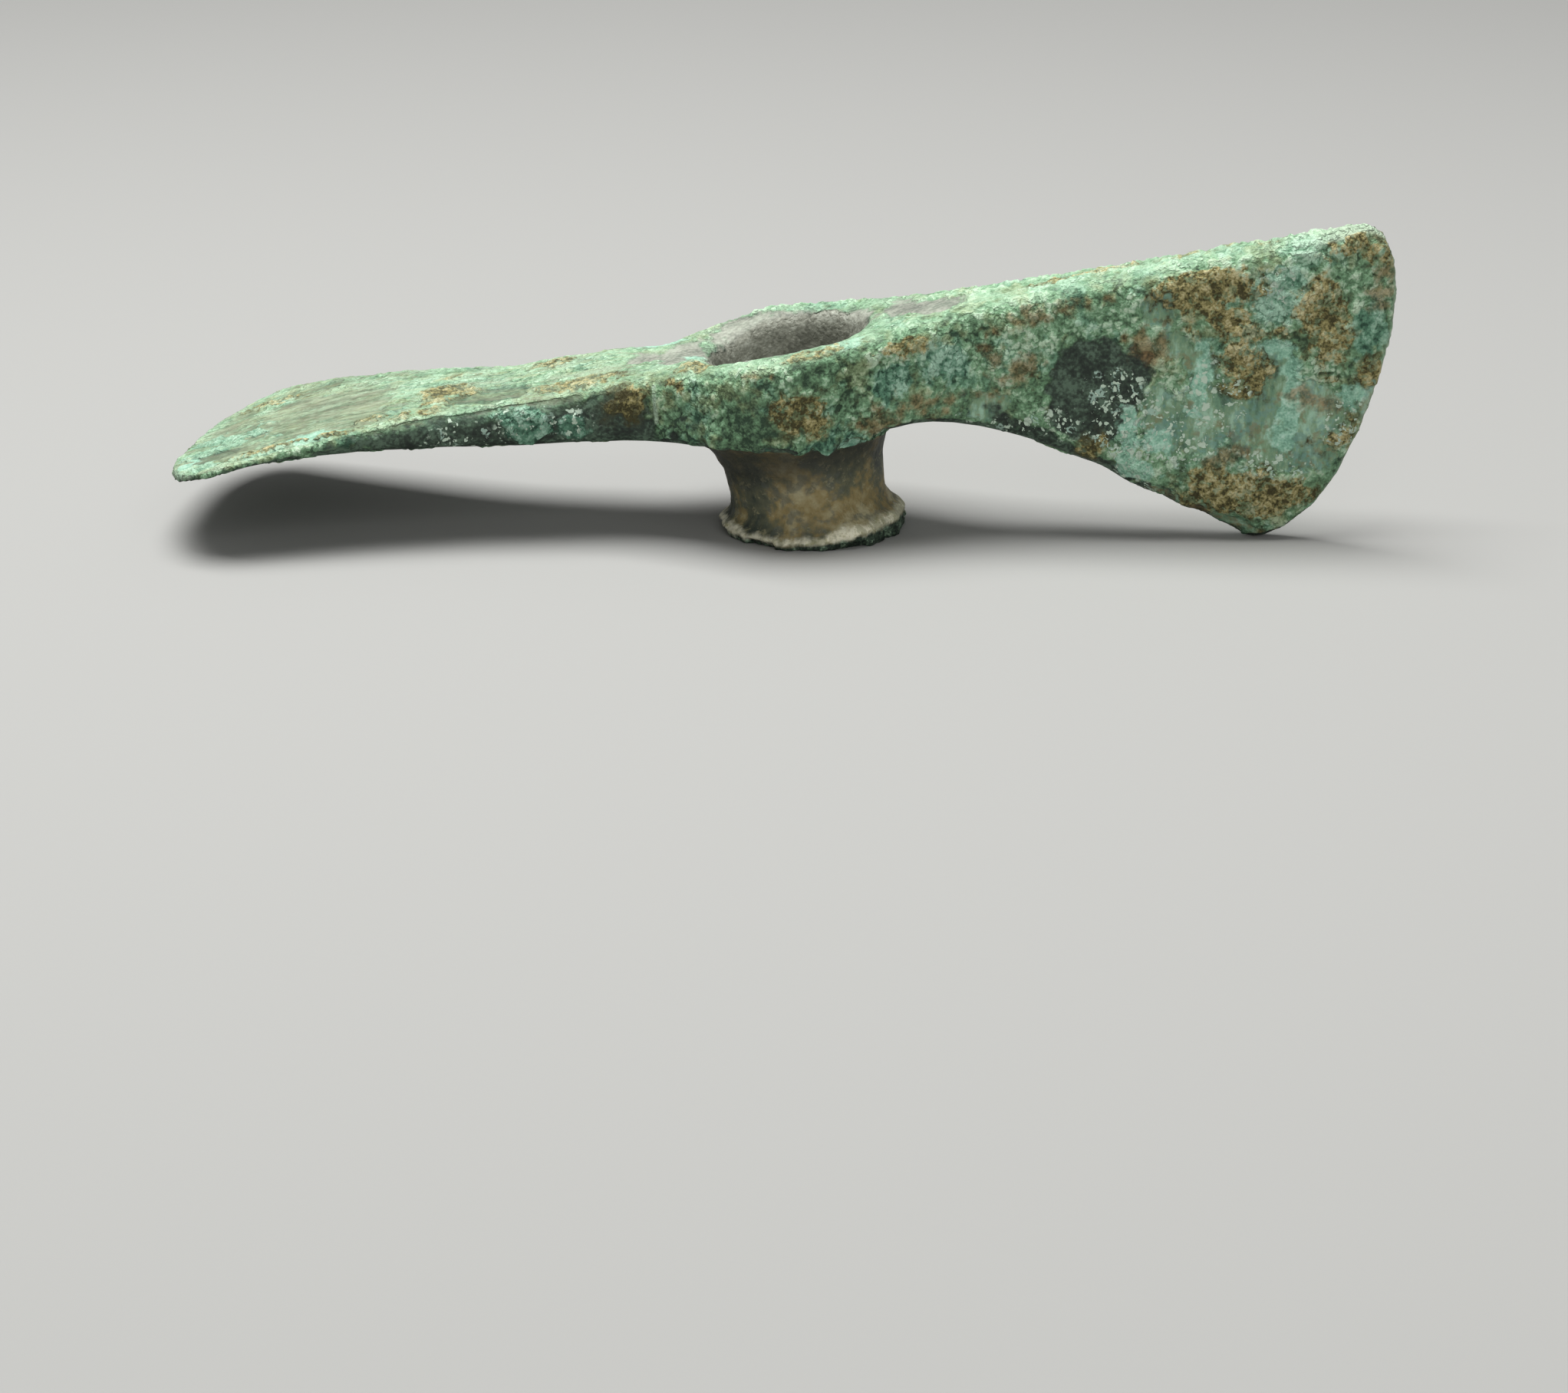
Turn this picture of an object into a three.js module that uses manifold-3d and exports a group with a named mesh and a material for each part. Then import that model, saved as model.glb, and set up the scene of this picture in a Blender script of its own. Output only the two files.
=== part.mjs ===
import * as THREE from 'three';
import { mergeVertices } from 'three/addons/utils/BufferGeometryUtils.js';
import Module from 'manifold-3d';

// A cast bronze axe-adze head: an axe blade and an adze blade, set crosswise, on either side of a
// lozenge-shaped hub with a haft hole, whose wall runs down into a short collar with a flared rim.
// Millimetres, +Z up. The axe blade points to +X and the adze blade to -X. The head is shown as it
// rests: on the rim of its collar and on the lower horn of the axe blade, leaning back a little.
// X = 0 is where the line of the haft hole passes through the hub.

// How the head sits
const topAboveFloor = 34.2; // the hub's top face over the floor, at X = 0
const topRise = 12.4; // degrees that the top face climbs towards the axe blade
const underRise = 8; // degrees that the hub's underside climbs towards the axe blade
const haftLean = 7; // degrees that the haft hole leans back from upright

// Hub
const hubWidth = 44.2; // across the lozenge's two side corners
const hubThickness = 16.4; // from top face to underside, at X = 0
const hubCornerX = -2.2; // the side corners sit a little towards the adze
const hubTaperAdze = 0.49; // narrowing on each side, per millimetre towards the adze
const hubTaperAxe = 0.45; // the same, towards the axe
const hubCornerSoftness = 2.4;

// Adze blade, seen from above
const adzeReach = 106; // from X = 0 to the middle of the edge
const adzeBow = 12.8; // how far the edge curves out past its horns
const adzeEdgeWidth = 61.4; // horn to horn
const adzeNeckWidth = 26;
const adzeNeckX = 29; // the narrowest place
const adzeFlare = 1.53; // how late the sides swing out
const adzeEdgeFullness = 2.4; // how far the edge's curve keeps its depth towards the horns

// Adze blade, seen from the side
const adzeNeckThickness = 10.9;
const adzeSlope = 0.12; // fall of the blade's top face, per millimetre
const adzeSlopeX = 42; // where the hub's slope gives way to it
const adzeSlopeBlend = 5; // length over which it does
const adzeDroop = 6.2; // further drop of the edge, as the blade curves down
const adzeTaper = 1.25; // how early the blade thins towards its edge
const adzeUndersideCrown = 0.7; // the underside's middle bulges by this much

// Axe blade, seen from the side
const axeBow = 12.9; // how far the edge curves out past the line between its horns
const axeUpperHornX = 94.2;
const axeLowerHornX = 77;
const axeNeckX = 22; // where the underside starts to fall to the lower horn
const axeSweep = 1.6; // how late it falls
const axeEdgeFullnessUp = 1.9; // how far the edge's curve keeps its depth towards the upper horn
const axeEdgeFullnessDown = 3; // the same, towards the lower horn

// Axe blade, seen from above
const axeNeckThickness = 17.8;
const axeBevel = 0.55; // how full the faces stay on their way to the edge

// Both blades
const edgeThickness = 1.4;
const cornerRadius = 3.4; // rounding along the hub's long corners
const cornerShare = 0.42; // the same on a thin blade, as a share of its half thickness
const hornRoundness = 0.45; // how round the ends of an edge are
const adzeBlend = 1.5; // softness of the hollow between hub and adze
const axeBlend = 1.7; // softness of the hollow between hub and axe
const undersideBlend = 1.2; // softness where the adze's underside leaves the hub's

// Collar and haft hole
const collarRadius = 13.5; // at the waist of the collar
const collarRimRadius = 16.3;
const collarRimHeight = 2; // the rim's widest place above the floor
const collarRimRounding = 0.7; // of the rim's lower edge
const collarRimTop = 1.2; // from the rim's widest place up to where the flare starts
const collarWaistHeight = 8;
const collarRootFillet = 4.4; // the collar spreads by this much where it meets the hub
const collarBite = 2.5; // the sleeve it is cut from runs this far into the hub
const holeFootRadius = 11.7;
const holeTopRadius = 12.9; // under the rounded mouth
const holeMouthRounding = 2; // the mouth opens by this much more
const holeMouthDepth = 3.4;
const holeFootFlare = 0.4; // the hole widens by this much at the floor

// Fineness of the faces
const pointsPerSide = 10;
const pointsPerCorner = 3;
const adzeSteps = 20;
const hubSteps = 18;
const axeSteps = 18;
const roundSteps = 56;
const adzeStepBias = 1.2; // the steps lie closer together towards the edge
const axeStepBias = 1.4;
const overrun = 4; // the haft hole's cutter stands out this far past both faces
const finest = 0.02; // points closer together than this are joined

const slope = (degrees) => Math.tan(THREE.MathUtils.degToRad(degrees));
const softMax = (a, b, softness) => (a + b + Math.hypot(a - b, softness)) / 2;
const softMin = (a, b, softness) => (a + b - Math.hypot(a - b, softness)) / 2;
const mix = THREE.MathUtils.lerp;

const hubEndAdze = -24; // the loft's hub stretch ends here and the blades begin
const hubEndAxe = 24;
const adzeHornX = adzeReach - adzeBow;

// The top face: one straight slope over the hub and the axe, curving down along the adze
function topHeight(x) {
  const along = softMax(0, -adzeSlopeX - x, adzeSlopeBlend);
  const eased = (slope(topRise) - adzeSlope) * along;
  const drooped = adzeDroop * (along / (adzeReach - adzeSlopeX)) ** 3;
  return topAboveFloor + slope(topRise) * x + eased - drooped;
}

// The hub's underside, which the axe blade's lower edge leaves in a curve down to its horn
function underHeight(x) {
  const hub = (at) => topAboveFloor - hubThickness + slope(underRise) * at;
  if (x <= axeNeckX) return hub(x);
  const share = (x - axeNeckX) / (axeLowerHornX - axeNeckX);
  return Math.max(0, hub(axeNeckX) * (1 - share ** axeSweep));
}

// Half the head's width over the hub: a lozenge with softened corners
function lozengeHalfWidth(x) {
  const peak = hubWidth / 2 + hubCornerSoftness / 2;
  const towardsAdze = peak + hubTaperAdze * (x - hubCornerX);
  const towardsAxe = peak - hubTaperAxe * (x - hubCornerX);
  return softMin(towardsAdze, towardsAxe, hubCornerSoftness);
}

function adzeHalfWidth(x) {
  const share = Math.max(0, -x - adzeNeckX) / (adzeHornX - adzeNeckX);
  return adzeNeckWidth / 2 + ((adzeEdgeWidth - adzeNeckWidth) / 2) * share ** adzeFlare;
}

function axeHalfThickness(share) {
  return edgeThickness / 2 + ((axeNeckThickness - edgeThickness) / 2) * (1 - share) ** axeBevel;
}

function adzeThickness(x) {
  const share = (-x - adzeNeckX) / (adzeHornX - adzeNeckX);
  return edgeThickness + (adzeNeckThickness - edgeThickness) * Math.max(0, 1 - share) ** adzeTaper;
}

// The rim of a blade's edge between its horns at -1 and 1: full in the middle, round at the horns
const bow = (across, fullness) => (1 - Math.min(1, Math.abs(across)) ** fullness) ** hornRoundness;

// A rounded rectangle as a ring of [across, up] shares from -1 to 1, starting at the middle of the
// top and running over the +Y side; the points lie closer together towards the corners
function roundedRing(halfWidth, halfHeight) {
  const radius = Math.min(cornerRadius, 2 * cornerShare * Math.min(halfWidth, halfHeight));
  const flat = [halfWidth - radius, halfHeight - radius];
  const ring = [];
  const side = (from, to) => {
    for (let i = 0; i < pointsPerSide; i++) {
      const along = Math.sin((Math.PI / 2) * (-1 + (2 * i) / pointsPerSide));
      ring.push([mix(from[0], to[0], (along + 1) / 2), mix(from[1], to[1], (along + 1) / 2)]);
    }
  };
  const corner = (centre, start) => {
    for (let i = 0; i < pointsPerCorner; i++) {
      const angle = start - (Math.PI / 2) * (i / pointsPerCorner);
      ring.push([centre[0] + radius * Math.cos(angle), centre[1] + radius * Math.sin(angle)]);
    }
  };
  side([-flat[0], halfHeight], [flat[0], halfHeight]);
  corner([flat[0], flat[1]], Math.PI / 2);
  side([halfWidth, flat[1]], [halfWidth, -flat[1]]);
  corner([flat[0], -flat[1]], 0);
  side([flat[0], -halfHeight], [-flat[0], -halfHeight]);
  corner([-flat[0], -flat[1]], -Math.PI / 2);
  side([-halfWidth, -flat[1]], [-halfWidth, flat[1]]);
  corner([-flat[0], flat[1]], -Math.PI);
  const middle = pointsPerSide / 2;
  return [...ring.slice(middle), ...ring.slice(0, middle)].map(([y, z]) => [
    y / halfWidth,
    z / halfHeight,
  ]);
}

// One ring of the adze blade; share runs from 0 at the hub to 1 at the edge
function adzeRing(share) {
  const base = mix(-hubEndAdze, adzeHornX, share);
  const halfWidth = softMax(lozengeHalfWidth(-base), adzeHalfWidth(-base), adzeBlend);
  const hubLike = topHeight(-base) - underHeight(-base);
  const thickness = softMin(hubLike, adzeThickness(-base), undersideBlend);
  return roundedRing(halfWidth, thickness / 2).map(([across, up]) => {
    const x = -(base + adzeBow * share ** 2 * bow(across, adzeEdgeFullness));
    const crown = adzeUndersideCrown * share * (1 - share) * 4 * (1 - across ** 2);
    const depth = (thickness + crown) * ((1 - up) / 2);
    return [x, across * halfWidth, topHeight(x) - depth];
  });
}

function hubRing(x) {
  const adze = softMax(lozengeHalfWidth(x), adzeHalfWidth(x), adzeBlend);
  const axe = softMax(lozengeHalfWidth(x), axeNeckThickness / 2, axeBlend);
  const halfWidth = x < 0 ? adze : axe;
  const hubLike = topHeight(x) - underHeight(x);
  const thickness = x < 0 ? softMin(hubLike, adzeThickness(x), undersideBlend) : hubLike;
  return roundedRing(halfWidth, thickness / 2).map(([across, up]) => [
    x,
    across * halfWidth,
    topHeight(x) - thickness * ((1 - up) / 2),
  ]);
}

function axeRing(share) {
  const upperX = mix(hubEndAxe, axeUpperHornX, share);
  const lowerX = mix(hubEndAxe, axeLowerHornX, share);
  const upper = topHeight(upperX);
  const lower = underHeight(lowerX);
  const blend = axeBlend * (1 - share);
  const halfThickness = softMax(lozengeHalfWidth(upperX), axeHalfThickness(share), blend);
  return roundedRing(halfThickness, (upper - lower) / 2).map(([across, up]) => {
    const fullness = up > 0 ? axeEdgeFullnessUp : axeEdgeFullnessDown;
    const x = mix(lowerX, upperX, (1 + up) / 2) + axeBow * share ** 2 * bow(up, fullness);
    return [x, across * halfThickness, mix(lower, upper, (1 + up) / 2)];
  });
}

// The whole casting without its hole: rings of points from the axe's edge to the adze's
function headGeometry() {
  const rings = [];
  const closing = (share, bias) => 1 - (1 - share) ** bias;
  for (let i = axeSteps; i > 0; i--) rings.push(axeRing(closing(i / axeSteps, axeStepBias)));
  for (let i = 0; i <= hubSteps; i++) rings.push(hubRing(mix(hubEndAxe, hubEndAdze, i / hubSteps)));
  for (let i = 1; i <= adzeSteps; i++) rings.push(adzeRing(closing(i / adzeSteps, adzeStepBias)));
  const count = rings[0].length;
  const faces = [];
  for (let i = 0; i + 1 < rings.length; i++) {
    for (let j = 0; j < count; j++) {
      const [a, b] = [i * count + j, i * count + ((j + 1) % count)];
      faces.push(a, b, a + count, b, b + count, a + count);
    }
  }
  faces.push(...edgeFaces(count, 0, 0, false));
  faces.push(...edgeFaces(count, (rings.length - 1) * count, count / 4, true));
  const geometry = new THREE.BufferGeometry();
  geometry.setAttribute('position', new THREE.Float32BufferAttribute(rings.flat(2), 3));
  geometry.setIndex(faces);
  return geometry;
}

// Closes the last ring of a blade by joining the points that face each other across its edge
function edgeFaces(count, first, start, turned) {
  const faces = [];
  const at = (step) => first + ((start + step + count) % count);
  for (let k = 0; k < count / 2; k++) {
    const quad = [at(k), at(k + 1), at(-k - 1), at(-k)];
    const corners = [[0, 1, 2], [0, 2, 3]].map((t) => t.map((c) => quad[c]));
    for (const t of corners) {
      if (new Set(t).size === 3) faces.push(...(turned ? t : [...t].reverse()));
    }
  }
  return faces;
}

// A round sleeve about the haft hole's line: its rings lie level at the floor and tilt with the
// head's slope as they rise
function sleeveGeometry(profile, tilt, tiltFrom, tiltTo) {
  const lathe = new THREE.LatheGeometry(profile.map(([r, z]) => new THREE.Vector2(r, z)), roundSteps);
  lathe.rotateX(Math.PI / 2);
  const place = lathe.getAttribute('position');
  const middle = topAboveFloor - hubThickness / 2;
  for (let i = 0; i < place.count; i++) {
    const [x, z] = [place.getX(i), place.getZ(i)];
    const lift = slope(tilt) * x * THREE.MathUtils.smoothstep(z, tiltFrom, tiltTo);
    place.setX(i, x + (middle - z) * slope(haftLean));
    place.setZ(i, z + lift);
  }
  return lathe;
}

function collarGeometry() {
  const hubFoot = topAboveFloor - hubThickness;
  const waist = (share) => mix(collarWaistHeight, hubFoot, share);
  const spread = (share) => collarRadius + collarRootFillet * share;
  const flare = (share) => mix(collarRadius, collarRimRadius, share);
  const rimTop = collarRimHeight + collarRimTop;
  return sleeveGeometry(
    [
      [0, 0],
      [collarRimRadius - collarRimRounding, 0],
      [collarRimRadius - collarRimRounding / 4, collarRimHeight / 2],
      [collarRimRadius, collarRimHeight],
      [flare(0.8), rimTop],
      [flare(0.4), mix(rimTop, collarWaistHeight, 0.3)],
      [flare(0.1), mix(rimTop, collarWaistHeight, 0.7)],
      [spread(0), waist(0)],
      [spread(0.1), waist(0.45)],
      [spread(0.35), waist(0.75)],
      [spread(0.65), waist(0.92)],
      [spread(1), hubFoot + collarRimRounding / 2],
      [spread(1), hubFoot + collarBite],
      [0, hubFoot + collarBite],
    ],
    underRise,
    collarWaistHeight / 2,
    hubFoot,
  );
}

function haftHoleGeometry() {
  const mouth = topAboveFloor - holeMouthDepth;
  const rounded = [0, 0.08, 0.3, 0.62, 1].map((share) => [
    holeTopRadius + holeMouthRounding * share,
    mouth + holeMouthDepth * Math.sqrt(1 - (1 - share) ** 2),
  ]);
  const [mouthRadius, mouthHeight] = rounded.at(-1);
  const chamfer = topAboveFloor + overrun - mouthHeight;
  return sleeveGeometry(
    [
      [0, -overrun],
      [holeFootRadius + holeFootFlare, -overrun],
      [holeFootRadius + holeFootFlare, 0],
      [holeFootRadius, collarWaistHeight / 2],
      [mix(holeFootRadius, holeTopRadius, 0.55), mix(0, mouth, 0.6)],
      ...rounded,
      [mouthRadius + chamfer * 0.6, topAboveFloor + overrun],
      [0, topAboveFloor + overrun],
    ],
    topRise,
    mouth / 2,
    mouth,
  );
}

const wasm = await Module();
wasm.setup();

function toSolid(geometry) {
  const bare = geometry.clone();
  bare.deleteAttribute('normal');
  bare.deleteAttribute('uv');
  const merged = mergeVertices(bare, 1e-4);
  const triangles = [];
  const index = merged.index.array;
  for (let i = 0; i < index.length; i += 3) {
    const t = [index[i], index[i + 1], index[i + 2]];
    if (new Set(t).size === 3) triangles.push(...t);
  }
  return new wasm.Manifold(
    new wasm.Mesh({
      numProp: 3,
      vertProperties: new Float32Array(merged.getAttribute('position').array),
      triVerts: new Uint32Array(triangles),
    }),
  );
}

function toGeometry(solid) {
  const { vertProperties, triVerts } = solid.getMesh();
  const geometry = new THREE.BufferGeometry();
  geometry.setAttribute('position', new THREE.BufferAttribute(vertProperties, 3));
  geometry.setIndex(new THREE.BufferAttribute(triVerts, 1));
  geometry.computeVertexNormals();
  return geometry;
}

const casting = toSolid(headGeometry())
  .add(toSolid(collarGeometry()))
  .subtract(toSolid(haftHoleGeometry()))
  .simplify(finest);

const head = new THREE.Mesh(
  toGeometry(casting),
  new THREE.MeshStandardMaterial({ color: 0x5f8f78, roughness: 0.85, metalness: 0.1 }),
);
head.name = 'axe_adze_head';

// The origin is on the floor, under the middle of the head's outline
const outline = new THREE.Box3().setFromBufferAttribute(head.geometry.getAttribute('position'));
const middle = outline.getCenter(new THREE.Vector3());
head.geometry.translate(-middle.x, -middle.y, -outline.min.z);

const axeAdze = new THREE.Group();
axeAdze.add(head);
export default axeAdze;
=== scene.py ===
"""A bronze axe-adze head under its green crust, resting on its collar on a pale floor.

The head is one casting, so it is one piece. Its form comes from the frame, remeshed finely enough to
carry the crust, the soil and the worn patches as real relief. The same fields that raise the relief
are kept on the mesh as attributes, and the material takes its colours from them.
Lengths on the head are in millimetres until its mesh is made, and MM turns them into metres. The
floor, the lights and the camera are in metres.
"""

import math

import bmesh
import bpy
import numpy as np
from mathutils import Matrix, Vector


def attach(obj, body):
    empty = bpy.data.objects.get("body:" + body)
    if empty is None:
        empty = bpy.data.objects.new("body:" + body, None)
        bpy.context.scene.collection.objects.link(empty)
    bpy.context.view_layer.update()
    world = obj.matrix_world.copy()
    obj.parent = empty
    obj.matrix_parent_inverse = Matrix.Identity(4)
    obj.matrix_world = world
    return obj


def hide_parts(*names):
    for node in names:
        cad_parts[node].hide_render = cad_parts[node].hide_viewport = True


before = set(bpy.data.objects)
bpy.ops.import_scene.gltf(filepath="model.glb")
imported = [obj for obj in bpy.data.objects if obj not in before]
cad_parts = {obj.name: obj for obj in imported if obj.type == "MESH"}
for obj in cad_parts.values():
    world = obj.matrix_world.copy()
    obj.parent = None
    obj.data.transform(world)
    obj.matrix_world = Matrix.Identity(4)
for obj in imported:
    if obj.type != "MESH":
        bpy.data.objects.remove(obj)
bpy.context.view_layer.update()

MM = 0.001
HEAD = "axe_adze_head"
HOLE_FOOT = (5.6, 0.0)  # where the haft hole's line meets the floor
HOLE_LEAN = math.tan(math.radians(7))  # how far that line moves towards the adze as it rises
HOLE_RADIUS = 12.4
COLLAR_REACH = 20.5  # from the hole's line to just outside the collar's rim
COLLAR_TOP = 17.0  # height of the hub's underside
FIELD_SPAN = 6.0  # the width over which a finish's field rises from 0 to 1
CRUST_SPAN = 1.1  # the height of crust that takes its colour from the darkest to the palest


# Noise, worked out for all points at once


def cell_number(cells, seed):
    """A random number from 0 to 1 for each whole-numbered cell, by mixing its three coordinates."""
    c = cells.astype(np.int64)
    mixed = (c[..., 0] * 73856093) ^ (c[..., 1] * 19349663) ^ (c[..., 2] * 83492791)
    mixed = (mixed + seed * 2654435761) & 0xFFFFFFFF
    mixed = ((mixed ^ (mixed >> 15)) * 2246822519) & 0xFFFFFFFF
    mixed = ((mixed ^ (mixed >> 13)) * 3266489917) & 0xFFFFFFFF
    return (mixed ^ (mixed >> 16)) / 0xFFFFFFFF


def soft_step(value, low, high):
    """0 below low, 1 above high and an S-shaped rise between them. It falls where low is above high."""
    share = np.clip((value - low) / (high - low), 0, 1)
    return share * share * (3 - 2 * share)


def noise(points, size, seed):
    """Smooth noise from 0 to 1: random numbers on a grid of that size, blended between the corners."""
    place = points / size
    corner = np.floor(place)
    share = place - corner
    share = share * share * share * (share * (share * 6 - 15) + 10)
    total = np.zeros(len(points))
    for step in np.ndindex(2, 2, 2):
        weight = np.prod(np.where(step, share, 1 - share), axis=1)
        total += weight * cell_number(corner + step, seed)
    return total


def cloud(points, size, seed, octaves=3):
    """Noise added up at a size, half of it, a quarter of it and so on, from 0 to 1 around 0.5."""
    total = np.zeros(len(points))
    for i in range(octaves):
        total += noise(points, size / 2**i, seed + i) / 2**i
    return total / (2 - 2 / 2**octaves)


def grains(points, size, seed):
    """Cells of uneven shape, one to a cube of that size. Gives the distances to the nearest and to the
    next cell's middle as shares of the size, the way from the nearest middle, and its cell."""
    place = points / size
    home = np.floor(place)
    nearest = np.full(len(points), 9.0)
    second = np.full(len(points), 9.0)
    away = np.zeros_like(place)
    owner = np.zeros_like(place)
    for step in np.ndindex(3, 3, 3):
        cell = home + step - 1
        jitter = np.stack([cell_number(cell, seed + axis) for axis in range(3)], axis=1)
        offset = place - (cell + 0.1 + 0.8 * jitter)
        distance = np.linalg.norm(offset, axis=1)
        closer = distance < nearest
        second = np.where(closer, nearest, np.minimum(second, distance))
        nearest = np.where(closer, distance, nearest)
        away = np.where(closer[:, None], offset, away)
        owner = np.where(closer[:, None], cell, owner)
    return nearest, second, away, owner


def domes(points, size, seed, smallest=0.35, largest=0.75):
    """Round grains of uneven width, from 0 to 1: the height of a half ball over its own radius."""
    nearest, _, _, owner = grains(points, size, seed)
    number = cell_number(owner, seed + 7)
    radius = smallest + (largest - smallest) * number
    return np.sqrt(np.clip(1 - (nearest / radius) ** 2, 0, 1)) * (0.55 + 0.45 * number)


def plates(points, size, seed):
    """Broken crust, from 0 to about 1: every cell is a plate at its own height with its own tilt, and
    a crack runs where two cells meet."""
    warp = np.stack([cloud(points, size * 1.3, seed + 30 + axis, 2) - 0.5 for axis in range(3)], axis=1)
    nearest, second, away, owner = grains(points + warp * size * 0.9, size, seed)
    tilt = sum(away[:, axis] * (cell_number(owner, seed + 8 + axis) - 0.5) for axis in range(3))
    crack = soft_step(second - nearest, 0.02, 0.32)
    return crack * np.clip(0.45 + 0.5 * cell_number(owner, seed + 7) + 1.1 * tilt, 0, 1.2)


# The casting: its form from the frame, in even small faces


def fine_casting(node, name, voxel, smoothing):
    """A copy of a node's mesh, merged, remeshed in cubes of the voxel's size and smoothed."""
    mesh = node.data.copy()
    mesh.materials.clear()
    merged = bmesh.new()
    merged.from_mesh(mesh)
    bmesh.ops.remove_doubles(merged, verts=merged.verts, dist=1e-6)
    merged.to_mesh(mesh)
    merged.free()
    piece = bpy.data.objects.new(name, mesh)
    bpy.context.scene.collection.objects.link(piece)
    remesh = piece.modifiers.new("even faces", "REMESH")
    remesh.mode = "VOXEL"
    remesh.voxel_size = voxel * MM
    smooth = piece.modifiers.new("soften", "SMOOTH")
    smooth.iterations = smoothing
    bpy.context.view_layer.update()
    evaluated = piece.evaluated_get(bpy.context.evaluated_depsgraph_get())
    fine = bpy.data.meshes.new_from_object(evaluated)
    piece.modifiers.clear()
    piece.data = fine
    bpy.data.meshes.remove(mesh)
    fine.name = name
    return piece


def places_of(mesh):
    """The mesh's vertices in millimetres."""
    flat = np.empty(len(mesh.vertices) * 3)
    mesh.vertices.foreach_get("co", flat)
    return flat.reshape(-1, 3) / MM


def normals_of(mesh):
    """The way that the surface faces at each vertex."""
    flat = np.empty(len(mesh.vertices) * 3)
    mesh.vertices.foreach_get("normal", flat)
    return flat.reshape(-1, 3)


# Patches, placed on the face that they lie on. A row gives the middle of the patch along the head, its
# middle height (near face) or its middle across (top face), its half length, its half width and its turn
# in degrees.

NEAR_SOIL = [
    (72.2, 44.2, 9.0, 3.9, 4),
    (76.0, 38.6, 5.2, 3.6, -30),
    (77.6, 33.2, 3.2, 4.6, 10),
    (79.6, 28.0, 4.0, 3.0, 30),
    (82.6, 36.8, 5.2, 0.7, 0),
    (92.4, 37.6, 2.9, 8.8, 6),
    (89.6, 39.0, 1.8, 4.4, 0),
    (99.0, 29.2, 2.4, 1.6, 20),
    (96.6, 52.6, 3.0, 1.3, 15),
    (101.0, 49.4, 1.8, 2.4, 0),
    (80.2, 8.6, 11.5, 4.2, -5),
    (74.0, 12.0, 5.0, 2.4, 10),
    (94.4, 18.2, 3.4, 1.8, 30),
    (22.8, 35.4, 3.4, 1.0, 12),
    (53.6, 16.8, 2.2, 2.2, 0),
    (-24.6, 25.2, 4.4, 3.6, 20),
    (-16.2, 28.4, 1.2, 1.8, 0),
    (5.8, 25.6, 4.6, 3.9, 0),
]
NEAR_RUST = [
    (36.2, 33.8, 1.9, 3.0, 10),
    (41.8, 30.4, 2.6, 1.5, 40),
    (17.8, 22.6, 2.6, 1.0, 10),
    (26.4, 25.4, 6.0, 1.5, 5),
    (62.4, 34.0, 3.4, 2.2, -25),
    (101.0, 44.6, 1.4, 3.8, 0),
    (88.4, 25.2, 2.0, 1.6, 0),
    (93.2, 24.0, 1.6, 1.2, 0),
    (-2.0, 32.0, 1.4, 0.8, 0),
    (76.4, 15.8, 3.4, 1.2, 30),
    (47.0, 40.8, 5.0, 1.3, 12),
    (73.0, 4.4, 8.4, 1.2, -20),
]
TOP_SOIL = [
    (-33.7, -7.9, 6.2, 4.0, 0),
    (-56.2, -2.6, 5.6, 4.6, -10),
    (-57.0, -9.0, 2.2, 2.8, 0),
    (-68.5, -15.9, 1.7, 2.4, 0),
    (-41.0, 7.7, 3.2, 2.6, 0),
    (-57.1, 8.4, 2.0, 1.6, 0),
    (-59.3, -16.3, 2.8, 1.3, 10),
    (-82.5, -24.2, 6.5, 1.5, 12),
    (-70.0, -22.0, 4.0, 1.2, 10),
    (-13.2, -11.4, 3.2, 5.2, 20),
    (8.2, -17.0, 4.8, 1.7, 15),
    (-91.8, 17.5, 4.0, 2.0, -20),
    (67.9, 0.6, 3.2, 1.5, 0),
    (56.0, 1.0, 3.6, 1.2, 0),
    (83.0, -0.5, 2.2, 1.2, 0),
    (75.4, 0.8, 1.8, 1.2, 0),
    (47.2, 0.2, 2.6, 1.2, 0),
]
NEAR_DARK = [
    (53.4, 26.8, 8.4, 9.4, -12),
    (59.4, 30.6, 3.6, 4.2, -20),
    (-45.3, 19.2, 27.0, 6.2, 6),
    (-26.3, 19.4, 9.0, 2.4, 0),
    (49.0, 16.0, 14.0, 2.4, -28),
]
TOP_DARK = [
    (-48.7, -8.0, 6.8, 6.2, 0),
    (-94.3, -18.5, 5.2, 3.2, 30),
]
NEAR_SMOOTH = [
    (64.6, 41.0, 2.8, 3.4, 0),
    (67.6, 34.6, 3.6, 2.6, 0),
    (72.0, 31.0, 3.0, 4.0, 0),
    (86.0, 20.6, 10.5, 8.4, -8),
    (84.0, 31.6, 4.8, 3.4, 0),
    (72.6, 22.6, 4.6, 6.8, 0),
    (65.4, 22.0, 3.8, 5.6, 0),
    (101.0, 24.0, 2.6, 6.0, 15),
    (36.0, 24.0, 4.0, 2.6, 0),
    (73.0, 4.4, 9.6, 1.6, -20),
]
TOP_SMOOTH = [
    (-80.6, -1.0, 13.4, 16.5, 0),
    (-97.0, 4.0, 4.2, 12.0, 0),
    (-84.0, 20.0, 8.0, 3.6, -8),
    (-70.3, -14.0, 6.2, 6.2, 0),
    (-77.3, -21.0, 5.4, 4.2, 0),
    (-89.9, -20.0, 5.2, 5.2, 0),
    (-98.8, -19.0, 3.3, 5.8, 0),
]
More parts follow.
